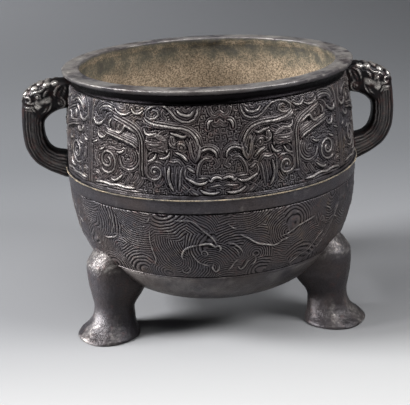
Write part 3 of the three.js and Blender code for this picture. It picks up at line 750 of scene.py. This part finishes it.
def leg_surface(angle):
    """A cabriole leg, lofted through its sections: each is a superellipse of power 2.25. A blunt
    crest, 0.45 * exp(-((z - 58.4) / 1.6)^2), edges the knee's sloping cap, shallow flutes part the
    toes, and what would stand inside the bowl is drawn back to the middle of the wall. Returns the
    points; the wear, which leaves bright specks on the knee and, along their ridges, on the toes,
    partly worn metal and partly painted glints; and the relief shade, which paints shade in the toes'
    grooves and between the glints."""
    rows = trace(LEG_ROWS, 10)
    z, centre, radial, side = rows.T[:, :, None]
    a = np.linspace(0, 2 * np.pi, 120, endpoint=False)[None, :]
    front = ease(np.cos(a), -0.2, 0.7)
    flutes = 0.8 * np.cos(5 * a) * front * (1 - ease(z, 3, 22)) * ease(z, 0.3, 3)
    crest = 0.45 * np.exp(-(((z - 58.4) / 1.6) ** 2)) * front
    out = centre + (radial + flutes + crest) * fuller(np.cos(a), LEG_FULLNESS)
    across = (side + flutes + crest) * fuller(np.sin(a), LEG_FULLNESS)
    turn = np.radians(angle)
    x = across * np.cos(turn) + out * np.sin(turn)
    y = across * np.sin(turn) - out * np.cos(turn)
    points = np.stack([x, y, z + 0 * a], -1)
    normal, _ = outward(points)
    inside_edges = ease(z, 0.5, 4)[..., None]
    toes, knee = 1 - ease(z, 8, 26), ease(z, 53, 58) * (1 - ease(z, 68, 74))
    worked = np.clip(toes + knee, 0, 1) * front
    rough = 0.16 * grain(points, 9, 41) + 0.08 * grain(points, 3, 42)
    rough = rough + 0.1 * grain(points, 1.5, 45) * worked
    points = points + normal * rough[..., None] * inside_edges
    streak = ease(np.cos(5 * a) + 0.8 * grain(points, 4, 43), -0.2, 0.9)
    specks = ease(grain(points, 1.6, 44) + 0.6 * grain(points, 0.9, 46), 0.0, 0.7)
    # Painted glints, partly real wear: bright specks on the knee and streaks on the toes' ridges.
    wear = np.clip((0.2 + 0.8 * specks) * (0.26 * knee + 0.3 * toes * streak) * front, 0, 1)
    # A lower relief shade paints shade in the toes' grooves and between the glints.
    relief = 0.47 - 0.13 * toes * front * (1 - streak) - 0.07 * worked * (1 - specks)
    return into_wall(points), wear, relief


def into_wall(points):
    """Draws points that lie inside the wall's middle surface out to it, along the line from the
    belly's centre. The surface is where (r / reach)^2.9 + (height / depth)^2.45 is 1, and each of
    twelve steps scales the points inside it by that value to the power -1 / 2.7."""
    centre = np.array([0, 0, BELLY_Z])
    reach = context_sizes().belly_radius * MM - WALL_THICKNESS / 2
    moved = points - centre
    for _ in range(12):
        value = (np.hypot(moved[..., 0], moved[..., 1]) / reach) ** BELLY_POWERS[1]
        value = value + (np.abs(moved[..., 2]) / (BELLY_DEPTH - WALL_THICKNESS / 2)) ** BELLY_POWERS[0]
        moved = moved * np.where(value < 1, np.maximum(value, 1e-3) ** (-1 / 2.7), 1)[..., None]
    return moved + centre


def make_legs():
    """Three legs, 120 degrees apart, the third one at the back."""
    for name, angle in LEG_ANGLES.items():
        points, wear, relief = leg_surface(angle)
        piece(name, points, bpy.data.materials["bronze_legs"], relief=relief, wear=wear)


# ------------------------------------------------------------------ handles

def handle_surface():
    """A loop handle on the +X side. Its section is a superellipse of power 3 between the outer and
    inner edge, carried along the loop. Ribs follow the loop at fixed shares of its depth, and the
    beast's head is drawn with raised lines on both cheeks and domes along the top. Returns the
    points; the relief shade, low on the flat sides to paint shade between the ribs and lines, high
    on raised parts to paint them as bare metal, partly painted highlight; and the wear, bare metal on
    the head's raised parts, partly wear and partly painted highlight."""
    outer, inner = trace(HANDLE_OUTER, 14), trace(HANDLE_INNER, 14)
    half = trace(np.array(HANDLE_HALF)[:, None], 14)
    share = np.linspace(0, 1, len(outer))[:, None]
    a = np.linspace(0, 2 * np.pi, 92, endpoint=False)[None, :]
    depth = 0.5 - 0.5 * fuller(np.cos(a), HANDLE_FULLNESS)
    width = half * fuller(np.sin(a), HANDLE_FULLNESS)
    r, z = ((outer[:, i, None] + (inner - outer)[:, i, None] * depth) for i in (0, 1))
    points = np.stack([r, width, z], -1)
    normal, _ = outward(points)
    cheek = ease(np.abs(normal[..., 1]), 0.25, 0.75)
    across = np.hypot(*(inner - outer).T)[:, None]
    field = np.zeros_like(r)
    behind_jaw = ease(share, 0.34, 0.40) * (1 - ease(share, 0.9, 0.98))
    for rib in RIB_DEPTHS:
        near = (depth - rib) * across + 0.12 * np.sin(share * 60 + 9 * rib)
        np.maximum(field, dome(near, 0.7, 0.8) * behind_jaw, out=field)
    lines = np.zeros_like(r)
    for row, section in HEAD_LINES:
        stamp(lines, r, z, row, section)
    for middle, radius, height in HEAD_BOSSES:
        np.maximum(lines, dome(np.hypot(r - middle[0], z - middle[1]), radius, height), out=lines)
    hole = dome(np.hypot(r - 136.3, z - 176.2), 1.3, 1.2)
    field = (np.maximum(field, lines) - hole) * cheek
    for at, radius, height in HEAD_DOMES:
        for hand in (-1, 1):
            distance = np.linalg.norm(points - np.array(at) * (1, hand, 1), axis=-1)
            field = np.maximum(field, dome(distance, radius, height))
    rough = 0.12 * grain(points, 6, 51) + 0.06 * grain(points, 2, 52)
    points = points + normal * (field + rough)[..., None]
    # Bare metal on the head's raised parts: partly wear, partly painted highlight.
    wear = ease(field, 0.4, 0.9) * (1 - 0.8 * behind_jaw) * ease(grain(points, 7, 53), -0.9, 0.2)
    smooth = 0.45 * (1 - ease(depth, 0.1, 0.2)) * behind_jaw
    # Relief shade: low on the flat sides, painted shade between ribs and lines; high on crests, painted
    # highlight.
    return points, np.clip(np.maximum(0.24 + field / (1.6 + behind_jaw), smooth), 0, 1), wear


def make_handles():
    """The two handles, one the other's mirror image."""
    points, relief, wear = handle_surface()
    for name, hand in {"handle_right": 1, "handle_left": -1}.items():
        piece(name, points * (hand, 1, 1), bpy.data.materials["bronze_handles"], relief=relief, wear=wear)


# ------------------------------------------------------------------ materials

def node(tree, kind, inputs=(), **settings):
    """A shader node with its settings, and its inputs given as values or as sockets to link."""
    made = tree.nodes.new("ShaderNode" + kind)
    for key, value in settings.items():
        setattr(made, key, value)
    for key, value in dict(inputs).items():
        if isinstance(value, bpy.types.NodeSocket):
            tree.links.new(value, made.inputs[key])
        else:
            made.inputs[key].default_value = value
    return made


def noise(tree, place, scale, detail=4, rough=0.55):
    """Fractal noise over object coordinates, about 0.5."""
    made = node(tree, "TexNoise", {"Vector": place, "Scale": scale, "Detail": detail, "Roughness": rough})
    return made.outputs["Fac"]


def band(tree, value, low, high, to_low=0.0, to_high=1.0):
    """Value carried smoothly from the range low..high to to_low..to_high."""
    ends = {0: value, 1: low, 2: high, 3: to_low, 4: to_high}
    return node(tree, "MapRange", ends, interpolation_type="SMOOTHSTEP").outputs[0]


def calc(tree, operation, a, b, hold=True):
    """One step of arithmetic, held within 0..1 unless told otherwise."""
    return node(tree, "Math", {0: a, 1: b}, operation=operation, use_clamp=hold).outputs[0]


def blend(tree, factor, a, b):
    """Colour that goes from a to b with the factor."""
    made = node(tree, "Mix", {0: factor}, data_type="RGBA")
    for index, colour in ((6, a), (7, b)):
        if isinstance(colour, bpy.types.NodeSocket):
            tree.links.new(colour, made.inputs[index])
        else:
            made.inputs[index].default_value = (*colour, 1)
    return made.outputs[2]


def layer(tree, name):
    """One of the piece's own attributes: relief, wear or crust."""
    return node(tree, "Attribute", attribute_name=name).outputs["Fac"]


def bronze(name, tone, gloss, blush, crest_wear_and_highlight, dirt, grit=1.0):
    """Patinated cast bronze. Hollows, where the relief shade attribute is low, are nearly black:
    partly dirt and partly painted shade. Crests, where it is high, and worn places are bare grey-brown
    metal: partly wear and partly painted highlight. Slow clouds of reddish oxide lie between them. A
    crust lies over it where the crust attribute plus a ragged noise is above about 0.45: grey-green
    where it is thin, sandy earth where it is thick. Tone scales the metal's brightness, gloss is its
    roughness, blush its share of red; the fifth argument gives the share of bare crests, worn metal
    and painted highlight; dirt is that of earth stains, and grit the depth of its coarse bumps."""
    finish = bpy.context.scene.ding_finish
    material = bpy.data.materials.new(name)
    material.use_nodes = True
    tree = material.node_tree
    tree.nodes.clear()
    place = node(tree, "TexCoord").outputs["Object"]
    cloud = noise(tree, place, 24, 5)
    speck = noise(tree, place, 210, 5, 0.65)
    dust = noise(tree, place, 900, 3, 0.6)
    relief, wear, crust = (layer(tree, key) for key in ("relief", "wear", "crust"))

    body = blend(tree, band(tree, cloud, 0.35, 0.68), finish.bronze, finish.oxide)
    red = band(tree, speck, 0.62 - 0.25 * blush, 0.8 - 0.25 * blush, 0, blush)
    body = blend(tree, red, body, finish.rust)
    body = blend(tree, band(tree, dust, 0.3, 0.7, 0, 0.35), body, finish.hollow)
    stain = band(tree, noise(tree, place, 40, 5, 0.6), 0.5, 0.72, 0, dirt)
    stain = calc(tree, "MULTIPLY", stain, band(tree, speck, 0.35, 0.65))
    body = blend(tree, stain, body, finish.earth_dark)
    # Where the relief shade is low the colour goes to the nearly black hollow colour: partly dirt, partly
    # painted shade in grooves, seams and under the lip.
    hollow_dirt_and_shade = band(tree, relief, 0.12, 0.42, 1, 0)
    body = blend(tree, hollow_dirt_and_shade, body, finish.hollow)
    # Crests, where the relief shade is high, are painted as bare metal: partly wear, partly painted
    # highlight.
    patchy = band(tree, speck, 0.38, 0.62, 0.25 * crest_wear_and_highlight, crest_wear_and_highlight)
    crest = calc(tree, "MULTIPLY", band(tree, relief, 0.5, 0.85), patchy)
    # The wear attribute paints bare metal: real wear, and painted glints on knees and toes and a painted
    # sheen on the base.
    rubbed_and_sheen = calc(tree, "MULTIPLY", wear, band(tree, dust, 0.35, 0.6, 0.45, 1))
    bare_and_highlight = calc(tree, "MAXIMUM", crest, rubbed_and_sheen)
    toned = node(tree, "HueSaturation", {"Value": tone, "Color": body}).outputs[0]
    metal = blend(tree, bare_and_highlight, toned, finish.worn_and_highlight)

    sand = noise(tree, place, 760, 4, 0.75)
    earth = blend(tree, band(tree, sand, 0.4, 0.6, 0, 1), finish.earth_dark, finish.earth)
    earth = blend(tree, band(tree, cloud, 0.45, 0.75, 0, 0.7), earth, finish.earth_dark)
    ragged = calc(tree, "SUBTRACT", noise(tree, place, 70, 6, 0.75), 0.5, False)
    depth = calc(tree, "ADD", crust, ragged, False)
    earth = blend(tree, band(tree, depth, 0.5, 0.9, 0.12, 1), finish.verdigris, earth)
    laid = band(tree, depth, 0.3, 0.65)
    colour = blend(tree, laid, metal, earth)

    shine = calc(tree, "MAXIMUM", band(tree, bare_and_highlight, 0, 1, 0.45, 0.92), hollow_dirt_and_shade)
    metallic = calc(tree, "MULTIPLY", shine, band(tree, laid, 0, 0.5, 1, 0))
    dusted = band(tree, dust, 0.3, 0.7, -0.06, 0.08)
    rough = calc(tree, "ADD", band(tree, bare_and_highlight, 0, 1, gloss, gloss - 0.18), dusted)
    rough = calc(tree, "MAXIMUM", rough, band(tree, laid, 0, 0.6, 0, 0.95))

    fine = node(tree, "Bump", {"Strength": 0.7, "Distance": 0.0003, "Height": dust}).outputs[0]
    pitted = {"Strength": 0.55, "Distance": 0.0007 * grit, "Height": speck, "Normal": fine}
    shader = node(tree, "BsdfPrincipled", {
        "Base Color": colour, "Metallic": metallic, "Roughness": rough,
        "Normal": node(tree, "Bump", pitted).outputs[0], "IOR": 1.45, "Specular IOR Level": 0.3,
    })
    node(tree, "OutputMaterial", {"Surface": shader.outputs[0]})
    return material


def floor_material():
    """Matt pale floor. Its grey goes smoothly from one tone to the next along Y: darker far in front
    and behind the vessel, palest just before it and at the back of the studio. These tones are
    painted light and shade: a painted pool of light before the vessel and at the back, painted
    shade behind it and far in front."""
    finish = bpy.context.scene.ding_finish
    material = bpy.data.materials.new("pale_floor")
    material.use_nodes = True
    tree = material.node_tree
    shader = tree.nodes["Principled BSDF"]
    place = node(tree, "TexCoord").outputs["Object"]
    axis = node(tree, "SeparateXYZ", {0: place}).outputs["Y"]
    front = blend(tree, band(tree, axis, -0.9, -0.35), finish.floor_back, finish.floor_front)
    near = blend(tree, band(tree, axis, -0.22, 0.0), front, finish.floor)
    behind = blend(tree, band(tree, axis, 0.8, 3.0), finish.floor_back, finish.floor_far)
    tree.links.new(blend(tree, band(tree, axis, 0.0, 0.45), near, behind), shader.inputs["Base Color"])
    shader.inputs["Roughness"].default_value = 1.0
    shader.inputs["Specular IOR Level"].default_value = 0.0
    return material


def make_materials():
    """The finishes: dull and dark on the friezes, smoother on the bands, legs and handles."""
    bronze("bronze_patina", 0.8, 0.4, 0.15, 0.5, 0.0)
    bronze("bronze_frieze", 0.95, 0.44, 0.3, 0.42, 0.5, 1.6)
    bronze("bronze_legs", 0.6, 0.38, 0.3, 0.5, 0.0, 1.8)
    bronze("bronze_handles", 0.36, 0.36, 0.6, 0.5, 0.05)
    floor_material()


# ------------------------------------------------------------------ stage

def lamp(name, place, aim, size, energy, cone=None):
    """A soft light at a place, turned to shine at its aim: a square panel or, with a cone in degrees,
    a spotlight whose beam is flattened to a wide, low sheet."""
    data = bpy.data.lights.new(name, "SPOT" if cone else "AREA")
    data.energy = energy
    obj = bpy.data.objects.new(name, data)
    if cone:
        data.spot_size = math.radians(cone)
        data.spot_blend = 0.04
        data.shadow_soft_size = size
        obj.scale = (9, 1, 1)
    else:
        data.size = size
    way = np.array(aim, float) - place
    away = math.atan2(way[1], way[0]) - math.pi / 2
    tilt = math.atan2(way[2], math.hypot(way[0], way[1])) + math.pi / 2
    obj.location = place
    obj.rotation_euler = (tilt, 0, away)
    bpy.context.collection.objects.link(obj)


def make_stage():
    """Pale floor, soft lights and the camera. A row of far, low beams from the left draws the legs'
    shadows over the floor and stays below the friezes."""
    studio = bpy.context.scene.ding_studio
    mesh = bpy.data.meshes.new("studio_floor")
    corners = [(-6, -6, 0), (6, -6, 0), (6, 6, 0), (-6, 6, 0)]
    mesh.from_pydata(corners, [], [(0, 1, 2, 3)])
    mesh.materials.append(bpy.data.materials["pale_floor"])
    floor = bpy.data.objects.new("studio_floor", mesh)
    bpy.context.collection.objects.link(floor)
    floor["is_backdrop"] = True

    for i in range(LOW_BEAMS):
        across = LOW_BEAM_STEP * i - 1.7
        place, aim = (-8.0, across, 1.02), (-3.54, across, 0)
        lamp(f"low_light_{i + 1}", place, aim, 0.07, studio.low_power / LOW_BEAMS, 12)
    lamp("key_light", (-1.87, -0.17, 1.426), (0, 0, 0.1), 0.68, studio.key_power)
    lamp("fill_light", (0.95, -0.62, 1.05), (0, 0, 0.12), 0.5, studio.fill_power)
    lamp("top_light", (-0.12, -0.42, 1.25), (0, 0, 0.15), 0.7, studio.top_power)
    world = bpy.data.worlds.new("studio")
    world.use_nodes = True
    back = world.node_tree.nodes["Background"]
    back.inputs[0].default_value = (0.9, 0.94, 1.0, 1)
    back.inputs[1].default_value = studio.ambient
    bpy.context.scene.world = world
    bpy.context.scene.view_settings.view_transform = "Standard"

    data = bpy.data.cameras.new("camera")
    data.lens = studio.lens
    data.sensor_width = 36
    camera = bpy.data.objects.new("camera", data)
    x, y, z = CAMERA_PLACE
    stand = Matrix.Translation((x, y + context_sizes().axis_y, z))
    turn = Matrix.Rotation(-studio.camera_turn, 4, "Z")
    tilt = Matrix.Rotation(math.pi / 2 - studio.camera_drop, 4, "X")
    roll = Matrix.Rotation(-studio.camera_roll, 4, "Z")
    camera.matrix_world = stand @ turn @ tilt @ roll
    bpy.context.collection.objects.link(camera)
    bpy.context.scene.camera = camera


# ------------------------------------------------------------------ panels and operators

def length(name, description, default):
    """A size in metres."""
    return FloatProperty(name=name, description=description, default=default, min=0,
                         subtype="DISTANCE", unit="LENGTH")


def paint(name, description, default):
    """A linear colour."""
    return FloatVectorProperty(name=name, description=description, default=default, size=3, min=0, max=1,
                               subtype="COLOR")


def power(name, description, default):
    """A light's power in watts."""
    return FloatProperty(name=name, description=description, default=default, min=0, unit="POWER")


def angle(name, description, degrees):
    """An angle, shown in degrees."""
    return FloatProperty(name=name, description=description, default=math.radians(degrees),
                         subtype="ANGLE", unit="ROTATION")


class DingSizes(bpy.types.PropertyGroup):
    """Sizes of the vessel"""
    height: length("Height", "Floor to the top of the lip", float(CAD_HIGH[2]))
    rim_radius: length("Lip radius", "Outer edge of the lip", 0.110)
    mouth_radius: length("Mouth radius", "Inner edge of the lip", 0.0966)
    belly_radius: length("Belly radius", "Widest part of the plain wall", 0.111)
    axis_y: FloatProperty(
        name="Axis", description="Place of the vessel's axis along Y, from the middle of its box",
        default=float(CAD_LOW[1]) + RIDGE_REACH / MM, subtype="DISTANCE", unit="LENGTH")


class DingFinish(bpy.types.PropertyGroup):
    """Colours of the bronze, the earth and the floor"""
    bronze: paint("Bronze", "Dark patina of the metal", (0.054, 0.050, 0.058))
    oxide: paint("Brown patina", "Slow brown clouds in the patina", (0.066, 0.053, 0.052))
    rust: paint("Reddish oxide", "Small reddish specks", (0.16, 0.066, 0.056))
    # Nearly black: fine dirt specks and dirt in grooves, and painted shade in hollows, seams and under the
    # lip.
    hollow: paint("Hollows", "Dirt in grooves and corners", (0.008, 0.007, 0.008))
    # Bare metal: worn crests and edges, and painted highlights on crests, glints on knees and toes, a sheen
    # on the base.
    worn_and_highlight: paint("Worn metal", "Bare metal on crests and edges", (0.50, 0.47, 0.44))
    earth: paint("Earth", "Sandy crust inside the bowl", (0.37, 0.288, 0.202))
    earth_dark: paint("Dark earth", "Darker patches of the crust", (0.105, 0.08, 0.055))
    verdigris: paint("Grey green", "Damp grey-green under the lip", (0.066, 0.066, 0.05))
    # The floor's tones are painted light and shade: paler pools before the vessel and far behind it.
    floor: paint("Floor", "Pale studio floor round the feet", (0.15, 0.152, 0.158))
    floor_front: paint("Floor in front", "Paler floor just before the vessel", (0.262, 0.262, 0.262))
    floor_back: paint("Floor behind", "Greyer floor behind and far in front", (0.098, 0.101, 0.107))
    floor_far: paint("Floor far behind", "Floor at the back of the studio", (0.255, 0.261, 0.277))


class DingStudio(bpy.types.PropertyGroup):
    """Lights and camera"""
    low_power: power("Low light", "Power of the whole row of low beams on the left", 13000)
    key_power: power("Key light", "Power of the light over the left shoulder", 139)
    fill_power: power("Fill light", "Power of the light on the right", 29)
    top_power: power("Top light", "Power of the light above", 8)
    ambient: FloatProperty(
        name="Ambient", description="Strength of the even light from all sides", default=0.06,
        min=0, subtype="FACTOR")
    lens: FloatProperty(
        name="Lens", description="Focal length of the camera", default=88.84, min=1,
        subtype="DISTANCE_CAMERA", unit="CAMERA")
    camera_turn: angle("Camera turn", "Turn of the camera from straight ahead, to the right", 3.219)
    camera_drop: angle("Camera drop", "How far the camera looks down", 18.787)
    camera_roll: angle("Camera roll", "Roll of the camera, clockwise", 2.689)


class DING_OT_materials(bpy.types.Operator):
    """Make the bronze finishes and the floor's material"""
    bl_idname = "ding.materials"
    bl_label = "Make Finishes"

    def execute(self, context):
        make_materials()
        return {"FINISHED"}


class DING_OT_bowl(bpy.types.Operator):
    """Make the bowl, with its bands, lip and crusted inside"""
    bl_idname = "ding.bowl"
    bl_label = "Make Bowl"

    def execute(self, context):
        make_bowl()
        return {"FINISHED"}


class DING_OT_mask_friezes(bpy.types.Operator):
    """Make the four slabs of the upper frieze, with its masks and dragons"""
    bl_idname = "ding.mask_friezes"
    bl_label = "Make Mask Friezes"

    def execute(self, context):
        make_mask_friezes()
        return {"FINISHED"}


class DING_OT_wave_friezes(bpy.types.Operator):
    """Make the four slabs of the lower frieze, with its waves"""
    bl_idname = "ding.wave_friezes"
    bl_label = "Make Wave Friezes"

    def execute(self, context):
        make_wave_friezes()
        return {"FINISHED"}


class DING_OT_legs(bpy.types.Operator):
    """Make the three cabriole legs"""
    bl_idname = "ding.legs"
    bl_label = "Make Legs"

    def execute(self, context):
        make_legs()
        return {"FINISHED"}


class DING_OT_handles(bpy.types.Operator):
    """Make the two beast-headed handles"""
    bl_idname = "ding.handles"
    bl_label = "Make Handles"

    def execute(self, context):
        make_handles()
        return {"FINISHED"}


class DING_OT_stage(bpy.types.Operator):
    """Make the floor, the lights and the camera"""
    bl_idname = "ding.stage"
    bl_label = "Make Stage"

    def execute(self, context):
        make_stage()
        return {"FINISHED"}


OPERATORS = [DING_OT_materials, DING_OT_bowl, DING_OT_mask_friezes, DING_OT_wave_friezes, DING_OT_legs,
             DING_OT_handles, DING_OT_stage]


class DING_PT_panel(bpy.types.Panel):
    """Sizes, colours, lights and the steps that make the ding"""
    bl_idname = "DING_PT_panel"
    bl_label = "Bronze Ding"
    bl_space_type = "VIEW_3D"
    bl_region_type = "UI"
    bl_category = "Ding"

    def draw(self, context):
        for group in (context.scene.ding_sizes, context.scene.ding_finish, context.scene.ding_studio):
            box = self.layout.box()
            for key in group.__annotations__:
                box.prop(group, key)
        for operator in OPERATORS:
            self.layout.operator(operator.bl_idname)


GROUPS = {"ding_sizes": DingSizes, "ding_finish": DingFinish, "ding_studio": DingStudio}


def register():
    """Adds the panel, its settings and the operators to Blender."""
    for cls in (*GROUPS.values(), *OPERATORS, DING_PT_panel):
        bpy.utils.register_class(cls)
    for name, group in GROUPS.items():
        setattr(bpy.types.Scene, name, PointerProperty(type=group))


def unregister():
    """Takes them out again."""
    for name in GROUPS:
        delattr(bpy.types.Scene, name)
    for cls in reversed((*GROUPS.values(), *OPERATORS, DING_PT_panel)):
        bpy.utils.unregister_class(cls)


def main():
    """Makes the whole scene in order."""
    register()
    bpy.ops.ding.materials()
    bpy.ops.ding.bowl()
    bpy.ops.ding.mask_friezes()
    bpy.ops.ding.wave_friezes()
    bpy.ops.ding.legs()
    bpy.ops.ding.handles()
    bpy.ops.ding.stage()


if __name__ == "__main__":
    main()
